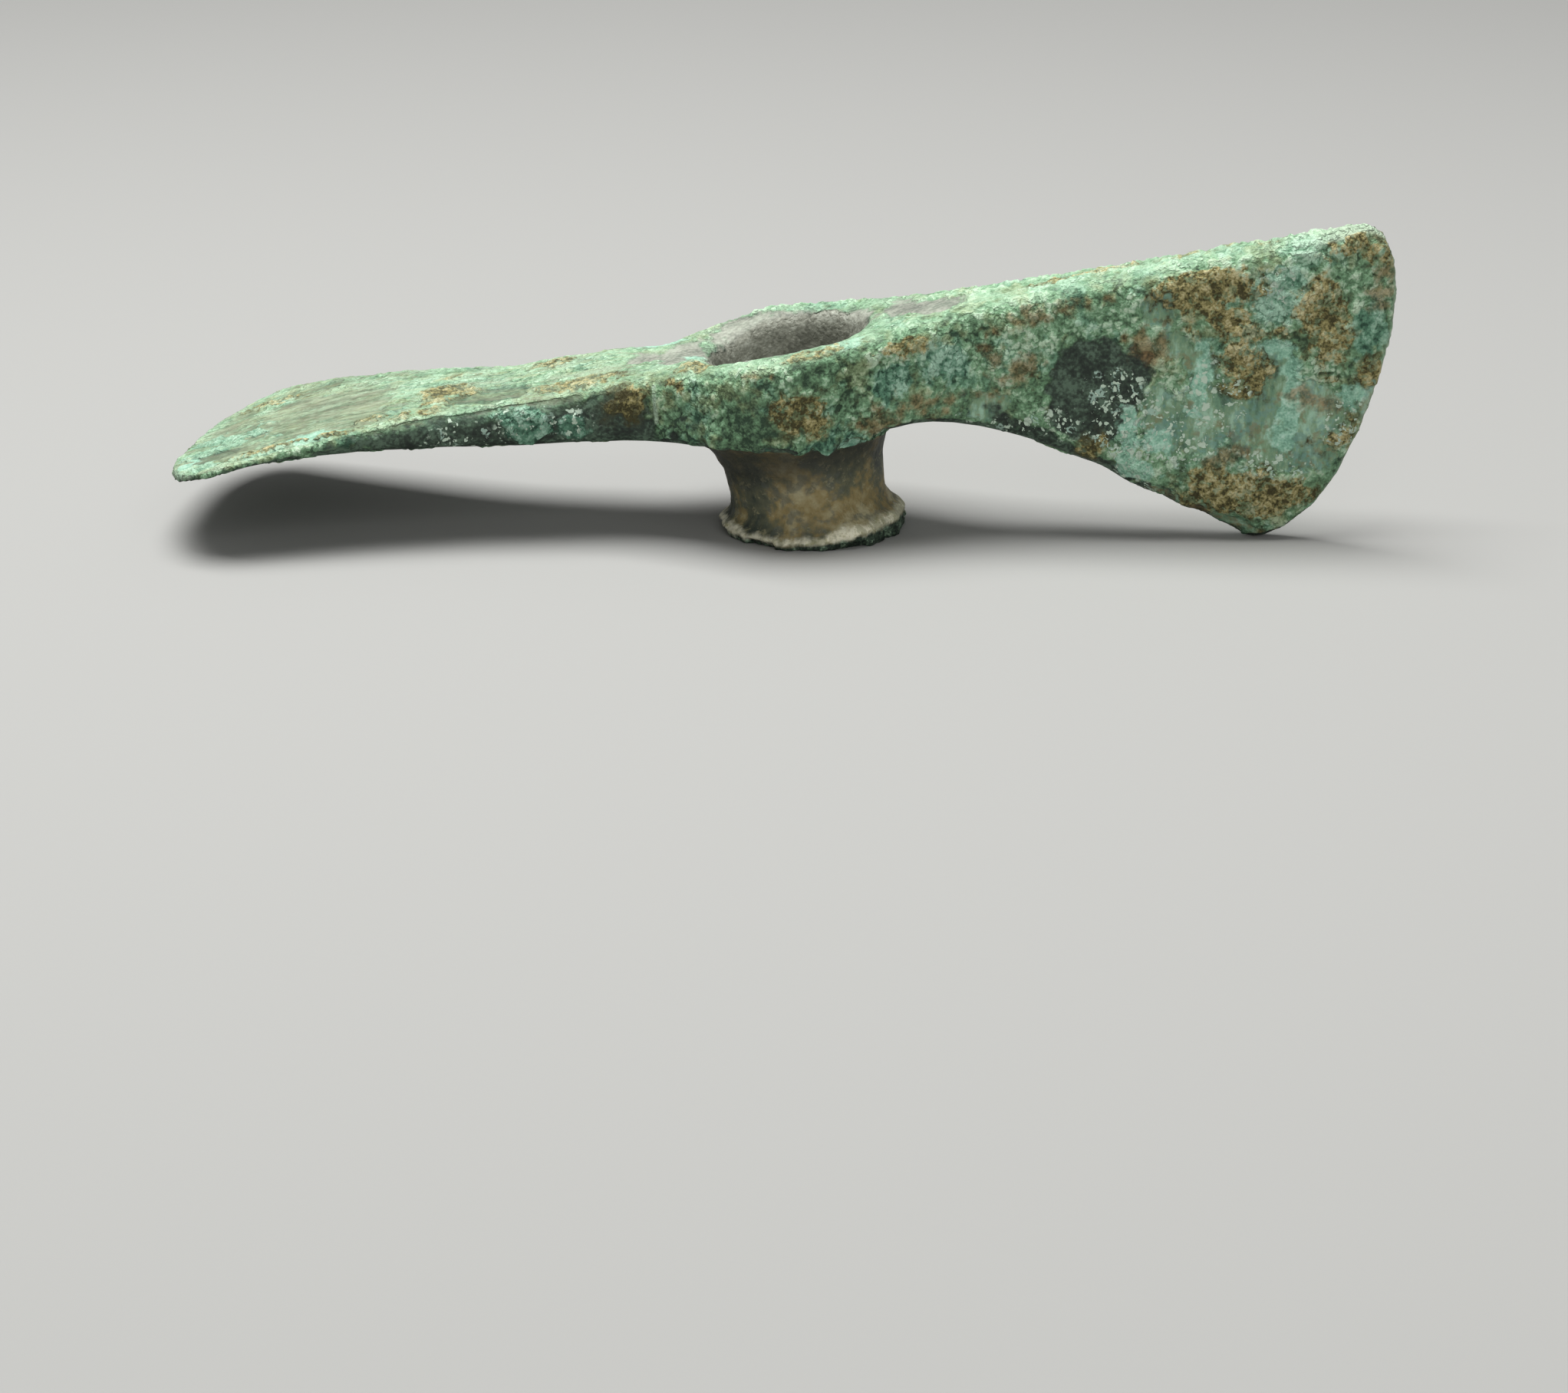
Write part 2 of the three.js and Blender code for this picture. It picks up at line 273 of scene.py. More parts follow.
TOP_GREY = [
    (25.7, -1.4, 5.4, 4.6, 0),
    (20.0, 2.0, 3.0, 6.0, 0),
    (-16.8, 0.8, 3.8, 6.2, 0),
    (-6.8, 10.5, 6.2, 5.2, 30),
    (-23.3, 1.0, 3.0, 3.2, 0),
    (-21.6, 9.4, 3.2, 1.8, 0),
]
NEAR_MINT = [
    (71.8, 30.4, 1.3, 4.8, -4),
    (83.2, 34.2, 3.4, 1.7, 5),
    (85.4, 30.2, 1.8, 0.8, 30),
    (96.6, 25.2, 2.2, 1.4, 0),
    (61.4, 13.2, 4.4, 2.2, -22),
    (86.4, 21.0, 1.9, 6.0, -6),
    (59.6, 19.6, 1.8, 4.2, 0),
    (64.6, 17.4, 2.4, 2.2, 0),
    (13.6, 17.6, 4.4, 1.4, 8),
]
TOP_MINT = [
    (-76.9, -20.8, 4.6, 3.4, 0),
    (-14.3, -2.0, 2.4, 1.8, 30),
    (-22.1, 10.4, 3.4, 1.4, 0),
    (-42.4, 13.4, 2.8, 1.0, 0),
    (12.7, -14.5, 3.8, 2.2, 40),
    (-100.5, -21.0, 3.0, 5.0, 0),
]
NEAR_TEAL = [
    (84.2, 43.2, 4.8, 5.2, 0),
    (99.0, 37.4, 2.6, 5.2, 0),
    (-40.2, 20.8, 6.2, 2.2, -8),
    (-34.6, 20.6, 3.2, 2.6, 0),
    (10.2, 19.6, 4.6, 1.4, 10),
    (29.3, 32.6, 3.4, 3.2, 0),
    (20.0, 29.6, 3.2, 3.6, 0),
]
TOP_TEAL = [
    (-93.5, -10.1, 3.4, 3.8, 0),
    (-89.9, -5.8, 2.2, 3.2, 0),
    (-97.9, -13.4, 3.2, 2.8, 0),
    (-89.9, 0.6, 2.0, 2.4, 0),
    (-99.9, -2.4, 3.0, 4.4, 0),
    (-95.8, -6.0, 3.4, 2.8, 0),
    (-65.9, -13.4, 4.0, 1.8, 25),
    (-86.1, -11.7, 1.3, 1.3, 0),
    (-85.5, -26.0, 3.4, 2.2, 10),
    (-94.8, -25.5, 3.3, 2.8, 0),
]
# Pale crust below the near face's top edge: partly the crust's own tone, partly painted light from above
NEAR_PALE_AND_TOP_LIT = [
    (57.0, 40.4, 9.0, 3.4, 12),
    (84.6, 42.6, 5.0, 5.4, 0),
    (24.0, 33.8, 9.0, 2.4, 12),
    (44.0, 36.4, 6.0, 2.8, 12),
]
NEAR_SPECKS = [
    (-38.0, 21.2, 7.0, 2.4, 0),
    (59.5, 20.5, 5.5, 10.5, 25),
    (68.0, 20.0, 8.0, 7.5, 0),
    (43.7, 21.0, 8.0, 2.2, 0),
    (73.7, 25.0, 5.0, 6.0, 0),
    (-53.3, 18.9, 6.0, 2.0, 0),
    (96.0, 21.5, 4.5, 3.6, 30),
    (83.7, 13.6, 6.0, 2.4, 0),
    (83.6, 43.6, 3.6, 3.8, 0),
]

# Single lines: start and end along the head and up or across, half width, and height over the metal.
NEAR_LINES = [
    (60.4, 43.6, 66.6, 41.4, 0.4, -0.4),
    (87.4, 30.0, 95.6, 29.6, 0.25, -0.3),
    (-19.7, 27.6, -19.4, 21.6, 0.4, 0.3),
    (78.6, 37.2, 87.0, 36.6, 0.3, -0.25),
]
TOP_LINES = [
    (-96.2, -11.3, -88.4, -7.1, 0.6, -0.5),
    (-82.0, 12.4, -70.0, 9.0, 0.5, -0.3),
    (-56.0, -0.4, -42.0, 0.6, 0.4, -0.3),
    (-72.0, -7.8, -63.6, -6.4, 0.4, -0.3),
]

# Lumps of crust: place, radius and height
LUMPS = [
    (10.4, -17.6, 18.0, 3.4, 2.0),
    (5.6, -20.0, 18.2, 2.8, 1.2),
    (-2.0, -21.4, 18.4, 2.6, 0.8),
    (-8.6, -18.8, 20.0, 3.2, 1.2),
    (15.8, -14.4, 20.4, 2.4, 0.9),
    (61.2, -8.2, 43.2, 2.6, 0.6),
    (-38.4, -13.6, 22.0, 2.8, 0.6),
    (61.5, 0.0, 10.5, 8.0, 0.9),
    (67.5, 0.0, 6.5, 6.0, 0.7),
    (-34.0, 10.0, 27.0, 15.0, 0.8),
    (-9.0, 17.0, 33.0, 13.0, 0.8),
]

# The collar's radius against the height, as cast: from the lip in to the waist and out to the hub
LIP_CAST = 2.0
WAIST_CAST = 8.0
COLLAR_HEIGHT = [LIP_CAST, 3.2, 4.6, 6.6, WAIST_CAST, 12.4, 15.3]
COLLAR_RADIUS = [16.3, 15.7, 14.6, 13.8, 13.5, 13.9, 15.0]
# The worn heights of lip and waist, against the way along the head from the hole's line
LIP_ALONG = [-16, -6, 3, 9, 16]
LIP_HEIGHT = [1.5, 0.9, 1.3, 3.0, 3.6]
WAIST_ALONG = [-16, 0, 16]
WAIST_HEIGHT = [4.2, 5.2, 8.0]


def inside_patches(places, across, rows, seed):
    """How far inside the nearest of several ellipses every point lies, in millimetres, or outside
    where it is negative. Noise of two sizes moves the border in and out."""
    deepest = np.full(len(places), -9.0)
    for along_middle, across_middle, half_length, half_width, turn in rows:
        c = math.cos(math.radians(turn))
        s = math.sin(math.radians(turn))
        dx = places[:, 0] - along_middle
        dy = across - across_middle
        radius = np.hypot((dx * c + dy * s) / half_length, (dy * c - dx * s) / half_width)
        deepest = np.maximum(deepest, (1 - radius) * min(half_length, half_width))
    broad = (cloud(places, 4.6, seed) - 0.5) * 3.6
    narrow = (cloud(places, 1.5, seed + 20, 2) - 0.5) * 2.2
    return deepest + (broad + narrow)


def field_of(distance):
    """A distance inside a border as a value from 0 to 1 that is 0.5 on the border."""
    return np.clip(0.5 + distance / FIELD_SPAN, 0, 1)


def mask_of(field, softness=0.05):
    """1 inside a field's border and 0 outside."""
    return soft_step(field, 0.5 - softness, 0.5 + softness)


def lines_on(places, across, rows):
    """Height along straight lines: each falls off from its middle as a smooth hump or groove."""
    height = np.zeros(len(places))
    for x0, a0, x1, a1, half_width, lift in rows:
        along = np.array([x1 - x0, a1 - a0])
        dx = places[:, 0] - x0
        da = across - a0
        share = np.clip((dx * along[0] + da * along[1]) / (along @ along), 0, 1)
        wander = (cloud(places, 3.0, 97, 2) - 0.5) * 1.6
        distance = np.hypot(dx - share * along[0], da - share * along[1] + wander)
        height += lift * soft_step(distance, half_width * 1.8, 0)
    return height


def around_hole(places):
    """The way from the hole's line, level: along the head, and the distance."""
    x, y, z = places.T
    dx = x - (HOLE_FOOT[0] - HOLE_LEAN * z)
    return dx, np.hypot(dx, y)


def finishes(places, normals):
    """Where each finish and each painted light or shade lies, as values for every vertex. A finish with
    a border has a field that is 0.5 on it. The painted shade under the hub, edge, dust with the painted
    light on what faces up, tilt, calm, tip and pale, which is partly painted light from above, are
    shares from 0 to 1, and lines is a height. What the photograph doesn't show, the far face and the
    underside, takes its patches from noise, and sway bends their borders."""
    x, y, z = places.T
    dx, from_hole = around_hole(places)

    # The face of the head that a vertex lies on
    top = soft_step(normals[:, 2] - 0.2 * soft_step(-x, 0, 20), 0.5, 0.78)
    near = soft_step(-normals[:, 1], 0.2, 0.5) * (1 - top)
    far = soft_step(normals[:, 1], 0.2, 0.5) * (1 - top)
    under = soft_step(-normals[:, 2], 0.45, 0.75)
    hidden = np.maximum(far, under)

    # The hole's wall and the collar, where no patch lies
    faces_out = (normals[:, 0] * dx + normals[:, 1] * y) / np.maximum(from_hole, 1)
    bore = field_of(np.minimum(HOLE_RADIUS + 1.5 - from_hole, 1 - 4 * faces_out))
    collar = field_of(np.minimum(COLLAR_REACH - from_hole, COLLAR_TOP + 0.6 - z))
    skirt = np.maximum(mask_of(bore), mask_of(collar))

    # The collar's rim, with its lip over its foot, and the painted shade under the hub
    lip_height = np.interp(dx, LIP_ALONG, LIP_HEIGHT)
    rim = soft_step(from_hole, 14.0, 14.8) * soft_step(from_hole, 20, 19)
    lip_wave = (cloud(places, 6.0, 89) - 0.5) * 1.6
    lip = rim * field_of((0.75 + lip_wave - np.abs(z - lip_height - 0.3)) * 2)
    foot = rim * field_of((lip_height - 0.3 - z + 0.5 * lip_wave) * 3)
    # Painted shade on the collar's top, under the hub's overhang
    painted_eave_shade = mask_of(collar) * soft_step(z - 0.22 * dx, 8, 15)

    # The blades' edges, what faces up, and the axe blade's tip
    edge = soft_step(np.abs(normals[:, 0]), 0.5, 0.85) * soft_step(np.abs(x), 62, 70)
    # What faces up: the share for its dust and for the painted light from above
    dust_and_top_light = soft_step(normals[:, 2], 0.45, 0.9) * (1 - mask_of(bore))
    tilt = soft_step(normals[:, 2], 0.02, 0.6) * (1 - mask_of(bore))
    calm = dust_and_top_light * soft_step(-x, 4, 30)
    tip = soft_step(x, 88, 94) * soft_step(normals[:, 2], 0.3, 0.6)

    def both(near_rows, top_rows, seed):
        on_near = near * field_of(inside_patches(places, z, near_rows, seed))
        on_top = top * field_of(inside_patches(places, y, top_rows, seed))
        return np.maximum(on_near, on_top) * (1 - skirt)

    sway = np.stack([cloud(places, 9.0, 101 + axis, 3) - 0.5 for axis in range(3)], axis=1) * 22

    def unseen(share, size, threshold, seed):
        return share * field_of((cloud(places + sway, size, seed, 5) - threshold) * 36)

    soil = both(NEAR_SOIL, TOP_SOIL, 31)
    soil = np.maximum(soil, unseen(far, 17, 0.615, 60)) * (1 - skirt)
    rust = near * field_of(inside_patches(places, z, NEAR_RUST, 37)) * (1 - skirt)
    dark = both(NEAR_DARK, TOP_DARK, 41)
    dark = np.maximum(dark, unseen(hidden, 19, 0.62, 71))
    dark = np.maximum(dark, unseen(under, 9, 0.4, 75)) * (1 - skirt)
    green = near * field_of(inside_patches(places, z, NEAR_SMOOTH, 43))
    green = np.maximum(green, unseen(far, 16, 0.56, 64))
    pale = near * soft_step(inside_patches(places, z, NEAR_PALE_AND_TOP_LIT, 51), -1, 3)
    brown = top * field_of(inside_patches(places, y, TOP_SMOOTH, 45))
    grey = top * field_of(inside_patches(places, y, TOP_GREY, 49))
    mouth = HOLE_RADIUS + 2.2 - from_hole + (cloud(places, 7.0, 91) - 0.5) * 5
    grey = np.maximum(grey, soft_step(z, 24, 28) * field_of(mouth))
    teal = both(NEAR_TEAL, TOP_TEAL, 47)
    mint = both(NEAR_MINT, TOP_MINT, 53)
    specks = near * field_of(inside_patches(places, z, NEAR_SPECKS, 57))
    lines = near * lines_on(places, z, NEAR_LINES) + top * lines_on(places, y, TOP_LINES)
    return {
        "bore": bore,
        "collar": collar,
        "lip": lip,
        "foot": foot,
        "painted_eave_shade": painted_eave_shade,
        "edge": edge,
        "dust_and_top_light": dust_and_top_light,
        "tilt": tilt,
        "calm": calm,
        "tip": tip,
        "soil": soil,
        "rust": rust,
        "dark": dark,
        "green": green,
        "brown": brown,
        "grey": grey,
        "teal": teal,
        "mint": mint,
        "specks": specks,
        "pale": pale,
        "lines": lines,
    }


def relief(places, normals, lies):
    """The height of the surface over the casting, in millimetres: a slow swell, and on it broken crust
    of two sizes, calmer and drawn out along the adze's top face, fine streaks on bare metal, clods
    of soil, knobs of teal, small white grains, lines and lumps. The hole's mouth and both edges are
    smoother. Gives the whole height, and the part of it that colours the crust."""
    smooth = ("dark", "green", "grey", "bore", "collar")
    bare = np.maximum.reduce([mask_of(lies[name], 0.08) for name in smooth])
    bare = np.maximum(bare, 0.6 * mask_of(lies["brown"], 0.4))
    soil = mask_of(lies["soil"])
    teal = mask_of(lies["teal"])
    bare *= (1 - soil) * (1 - teal)
    swell = (cloud(places, 17.0, 3) - 0.5) * 0.9
    waves = cloud(places, 4.4, 17)
    lumpy = soft_step(cloud(places, 7.0, 9), 0.36, 0.6)
    gritty = cloud(places, 1.7, 15, 2) - 0.5
    crust = 0.1 + (0.2 + 0.26 * lumpy) * plates(places, 2.4, 11)
    crust += (0.1 + 0.2 * lumpy) * plates(places, 1.5, 13)
    crust += 0.7 * (waves - 0.5) + 0.4 * gritty
    clods = 0.4 + 0.36 * plates(places, 1.5, 19) + 0.7 * (waves - 0.5) + 0.5 * gritty
    knobs = 0.1 + 0.4 * domes(places, 2.2, 29, 0.4, 0.7) + 0.4 * domes(places, 1.4, 27) + 0.5 * gritty
    streaks = (cloud(places * [0.16, 1, 1], 1.5, 67) - 0.5) * 0.16
    flow = 0.3 + (cloud(places * [0.2, 1, 1], 3.4, 69) - 0.5) * 0.9
    crust += lies["calm"] * 0.6 * (flow - crust)
    crust *= 1 - 0.6 * soft_step(-normals[:, 2], 0.3, 0.7)
    white = domes(places, 1.7, 59, 0.1, 0.45) * mask_of(lies["specks"], 0.1)
    foot = mask_of(lies["foot"], 0.1)
    height = crust * (1 - bare) * (1 - soil) * (1 - teal)
    height += clods * soil + knobs * teal * (1 - soil) + streaks * bare
    height += 0.4 * white + lies["lines"] + foot * 0.5 * (plates(places, 1.6, 33) - 0.6)
    lumps = np.zeros(len(places))
    for x, y, z, radius, top in LUMPS:
        distance = np.linalg.norm(places - [x, y, z], axis=1)
        lumps = np.maximum(lumps, top * soft_step(distance, radius, 0.2 * radius))
    _, from_hole = around_hole(places)
    height *= 1 - 0.8 * soft_step(from_hole, 17.5, 14.0) * soft_step(places[:, 2], 26, 30)
    lift = swell + height + lumps - 0.18
    return lift * (1 - 0.6 * lies["edge"]), height


def worn_collar(places):
    """The collar's rim isn't even. Its lip and the waist over it stand lower towards the adze and
    higher towards the axe blade, so every point takes the radius that the cast profile has at the
    height in proportion. Noise round the ring makes the rim ragged and chips its foot."""
    z = places[:, 2]
    dx, from_hole = around_hole(places)
    outward = np.stack([dx, places[:, 1], np.zeros(len(places))], axis=1)
    outward /= np.maximum(from_hole, 1)[:, None]
    outer = soft_step(from_hole, HOLE_RADIUS + 0.6, HOLE_RADIUS + 1.4) * soft_step(from_hole, 21, 19)
    lip = np.interp(dx, LIP_ALONG, LIP_HEIGHT)
    waist = np.interp(dx, WAIST_ALONG, WAIST_HEIGHT)
    below = LIP_CAST + (WAIST_CAST - LIP_CAST) * np.clip((z - lip) / (waist - lip), 0, None)
    top = COLLAR_HEIGHT[-1]
    above = WAIST_CAST + (top - WAIST_CAST) * np.clip((z - waist) / (top - waist), 0, 1)
    cast_height = np.where(z < waist, below, above)
    worn_radius = np.interp(cast_height, COLLAR_HEIGHT, COLLAR_RADIUS)
    cast_radius = np.interp(z, COLLAR_HEIGHT, COLLAR_RADIUS)
    ragged = (cloud(outward * 15, 4.0, 83) - 0.5) * 2.0 * soft_step(z, 7.0, 3.5)
    chips = -1.3 * soft_step(cloud(outward * 15, 3.0, 87), 0.52, 0.66) * soft_step(z, 1.5, 0.6)
    push = (worn_radius - cast_radius + ragged + chips) * outer
    return places + outward * push[:, None]


def worn_mouth(places):
    """The hole's mouth is worn down at both ends, more so towards the adze: the top of the wall and the
    face round it sink together, the deeper the nearer they lie to the hole."""
    dx, from_hole = around_hole(places)
    ends = soft_step(np.abs(dx), 5, 12) * soft_step(from_hole, 20.0, 13.0)
    ends *= soft_step(places[:, 2], 22, 32)
    sunk = places.copy()
    sunk[:, 2] -= (1.2 - 0.5 * soft_step(dx, -5, 5)) * ends
    return sunk


def twisted_adze(places):
    """The adze blade is twisted a little about its length: its near horn stands about 1 mm higher."""
    share = soft_step(-places[:, 0], 35, 105)
    lifted = places.copy()
    lifted[:, 2] -= places[:, 1] / 30 * share
    return lifted


def dress(piece):
    """Raises the relief on the casting and keeps the finishes on it as attributes. The height that
    colours the crust is raised where the crust is paler: towards the axe blade's edge, on its pale areas
    near the near face's top edge, partly as painted light from above, and on what faces up, partly for
    dust and partly as painted light from above. It is lowered a little on what doesn't face up over the
    hub and the adze."""
    mesh = piece.data
    places = places_of(mesh)
    normals = normals_of(mesh)
    lies = finishes(places, normals)
    lift, height = relief(places, normals, lies)
    lift *= soft_step(places[:, 2], 0.0, 1.2)
    places = twisted_adze(worn_mouth(worn_collar(places))) + normals * lift[:, None]
    places[:, 2] = np.maximum(places[:, 2], 0)
    mesh.vertices.foreach_set("co", (places * MM).ravel())
    above = lies["dust_and_top_light"]
    # Partly painted light from above: the crust's colour height rises on what faces up and on the pale
    # patches
    paler = 0.16 * soft_step(places[:, 0], -12, 65) + 0.18 * lies["pale"] + 0.08 * above
    paler -= 0.07 * (1 - above) * soft_step(places[:, 0], 30, 5)
    lies["height"] = np.clip(height / CRUST_SPAN + paler, 0, 1)
    lies["lines"] = np.clip(0.5 + lies["lines"], 0, 1)
    for name, values in lies.items():
        attribute = mesh.attributes.new(name, "FLOAT", "POINT")
        attribute.data.foreach_set("value", values.astype(np.float32))
    mesh.polygons.foreach_set("use_smooth", np.ones(len(mesh.polygons), bool))
    mesh.update()


# Materials


class Nodes:
    """Adds and links shader nodes: a socket given another node's output is linked, a number is set."""

    def __init__(self, tree):
        self.tree = tree

    def feed(self, socket, value):
        if isinstance(value, bpy.types.NodeSocket):
            self.tree.links.new(value, socket)
        else:
            socket.default_value = value

    def add(self, kind, inputs=None, **settings):
        node = self.tree.nodes.new(kind)
        for name, value in settings.items():
            setattr(node, name, value)
        for key, value in (inputs or {}).items():
            self.feed(node.inputs[key], value)
        return node

    def math(self, operation, a, b=0.0, clamp=False):
        return self.add("ShaderNodeMath", {0: a, 1: b}, operation=operation, use_clamp=clamp).outputs[0]

    def plus(self, a, b, clamp=False):
        return self.math("ADD", a, b, clamp)

    def minus(self, a, b):
        return self.math("SUBTRACT", a, b)

    def times(self, a, b):
        return self.math("MULTIPLY", a, b)

    def larger(self, a, b):
        return self.math("MAXIMUM", a, b)

    def cut_by(self, share, mask):
        """1 where the mask is 0, and less by that share where it is 1."""
        return self.minus(1.0, self.times(mask, share))

    def rise(self, value, low, high, start=0.0, end=1.0):
        """A smooth rise from start to end while the value goes from low to high."""
        sockets = {"Value": value, "From Min": low, "From Max": high, "To Min": start, "To Max": end}
        return self.add("ShaderNodeMapRange", sockets, interpolation_type="SMOOTHSTEP").outputs[0]

    def ramp(self, value, stops):
        node = self.add("ShaderNodeValToRGB", {"Fac": value})
        elements = node.color_ramp.elements
        while len(elements) < len(stops):
            elements.new(0.5)
        for element, (place, colour) in zip(elements, stops):
            element.position = place
            element.color = colour
        return node.outputs[0]

    def layer(self, below, share, tone):
        """A colour with a tone laid over it, fully where the share is 1."""
        node = self.add("ShaderNodeMix", {0: share, 6: below, 7: tone}, data_type="RGBA")
        return node.outputs[2]

    def noise(self, vector, scale, detail):
        return self.add("ShaderNodeTexNoise", {"Vector": vector, "Scale": scale, "Detail": detail})

    def cells(self, vector, scale):
        return self.add("ShaderNodeTexVoronoi", {"Vector": vector, "Scale": scale})

    def field(self, name):
        return self.add("ShaderNodeAttribute", attribute_name=name).outputs["Fac"]


def rgb(red, green, blue):
    """A colour given as it looks on a screen, 0 to 255, in the linear numbers that shaders use."""
    shown = [value / 255 for value in (red, green, blue)]
    return (*(((v + 0.055) / 1.055) ** 2.4 if v > 0.04045 else v / 12.92 for v in shown), 1.0)


def new_group(name, numbers, result):
    """A shader node group with a Vector input, an input for each number and one result. Gives the
    group's nodes, the sockets that its inputs come from and the one that takes its result."""
    tree = bpy.data.node_groups.new(name, "ShaderNodeTree")
    for title, value in numbers.items():
        socket = tree.interface.new_socket(title, in_out="INPUT", socket_type="NodeSocketFloat")
        socket.default_value = value
    tree.interface.new_socket("Vector", in_out="INPUT", socket_type="NodeSocketVector")
    tree.interface.new_socket(result, in_out="OUTPUT", socket_type="NodeSocketFloat")
    start = tree.nodes.new("NodeGroupInput").outputs
    finish = tree.nodes.new("NodeGroupOutput").inputs[result]
    return Nodes(tree), start, finish


def ragged_edge_group():
    """A field that is 0.5 on a border becomes a mask with an uneven border: noise of the given grain
    is added to it before it is cut."""
    numbers = {"Field": 0.0, "Grain": 900.0, "Raggedness": 0.3, "Softness": 0.04}
    n, start, finish = new_group("ragged edge", numbers, "Mask")
    grain = n.noise(start["Vector"], start["Grain"], 3.0).outputs[0]
    pushed = n.plus(start["Field"], n.times(n.minus(grain, 0.5), start["Raggedness"]))
    low = n.minus(0.5, start["Softness"])
    high = n.plus(0.5, start["Softness"])
    n.feed(finish, n.rise(pushed, low, high))
    return n.tree


def mottle_group():
    """Two sizes of noise in one value around 0.5, for colour that changes over a surface."""
    numbers = {"Coarse": 150.0, "Fine": 1200.0, "Fine share": 0.5}
    n, start, finish = new_group("mottle", numbers, "Value")
    coarse = n.noise(start["Vector"], start["Coarse"], 3.0).outputs[0]
    fine = n.noise(start["Vector"], start["Fine"], 2.0).outputs[0]
    n.feed(finish, n.plus(coarse, n.times(n.minus(fine, 0.5), start["Fine share"])))
    return n.tree


class Patina(Nodes):
    """The nodes of the head's material, with what its finishes share: fine grit, the grains of the
    crust (crack is 0 between two grains), and the crust's depth, from 0 in a crack to 1 on top."""

    def __init__(self, tree):
        super().__init__(tree)
        self.ragged_edge = ragged_edge_group()
        self.mottle = mottle_group()
        self.place = self.add("ShaderNodeTexCoord").outputs["Object"]
        self.runs_down = self.stretched(1.0, 1.0, 0.4)
        self.runs_along = self.stretched(0.2, 1.0, 1.0)

        wobble = self.noise(self.place, 700.0, 2.0).outputs["Color"]
        wobble = self.vector_math("MULTIPLY", wobble, (0.002, 0.002, 0.002))
        self.uneven = self.vector_math("ADD", self.place, wobble)
        self.grit = self.mottled(650.0, 2400.0, 0.7)
        grain = self.rise(self.cells(self.uneven, 980.0).outputs["Distance"], 0.78, 0.3)
        marked = self.rise(self.mottled(100.0, 350.0, 0.6), 0.42, 0.62, 0.35, 1.0)
        self.crack = self.times(grain, marked)

        self.height = self.field("height")
        depth = self.plus(self.times(self.height, 0.9), self.times(self.minus(self.grit, 0.5), 1.05))
        # The cracks lower the depth and so darken the crust and teal there: partly dark patina, partly
        # painted shade
        depth = self.plus(depth, self.times(self.crack, 0.46))
        blotch = self.minus(self.mottled(130.0, 420.0, 0.6), 0.46)
        self.depth = self.plus(depth, self.times(blotch, 0.55), clamp=True)

    def vector_math(self, operation, a, b):
        return self.add("ShaderNodeVectorMath", {0: a, 1: b}, operation=operation).outputs[0]

    def stretched(self, x, y, z):
        return self.add("ShaderNodeMapping", {"Vector": self.place, "Scale": (x, y, z)}).outputs[0]

    def mask(self, name, grain=900.0, raggedness=0.35, softness=0.04):
        """The mask of the finish that has this attribute."""
        inputs = {"Vector": self.place, "Field": self.field(name), "Grain": grain}
        inputs |= {"Raggedness": raggedness, "Softness": softness}
        return self.add("ShaderNodeGroup", inputs, node_tree=self.ragged_edge).outputs[0]

    def mottled(self, coarse, fine, share, vector=None):
        vector = self.place if vector is None else vector
        inputs = {"Vector": vector, "Coarse": coarse, "Fine": fine, "Fine share": share}
        return self.add("ShaderNodeGroup", inputs, node_tree=self.mottle).outputs[0]


def green_crust(n, teal_tone):
    """Crust that is darker in its cracks, partly from dark patina there and partly as painted shade, and
    paler on its plates, with teal and olive areas.
    """
    crust_tone = n.ramp(
        n.depth,
        [
            (0.02, rgb(54, 76, 58)),
            (0.2, rgb(86, 114, 86)),
            (0.42, rgb(110, 148, 112)),
            (0.66, rgb(144, 184, 146)),
            (0.95, rgb(196, 222, 192)),
        ],
    )
    olive_tone = n.ramp(
        n.depth, [(0.05, rgb(66, 72, 48)), (0.4, rgb(122, 132, 92)), (0.85, rgb(172, 182, 138))]
    )
    colour = n.layer(crust_tone, n.rise(n.mottled(110.0, 600.0, 0.5), 0.52, 0.66, 0.0, 0.55), teal_tone)
    return n.layer(colour, n.rise(n.mottled(140.0, 500.0, 0.6), 0.5, 0.68, 0.0, 0.6), olive_tone)


def stains_along_adze(n, colour):
    """Long olive and grey stains on the adze's top face."""
    calm = n.field("calm")
    olive = n.rise(n.mottled(300.0, 1200.0, 0.6, n.runs_along), 0.5, 0.66, 0.0, 0.5)
    grey = n.rise(n.mottled(200.0, 1500.0, 0.8, n.stretched(0.3, 1.3, 1.0)), 0.52, 0.68, 0.0, 0.7)
    colour = n.layer(colour, n.times(calm, olive), rgb(170, 180, 136))
    return n.layer(colour, n.times(calm, grey), rgb(138, 138, 116))


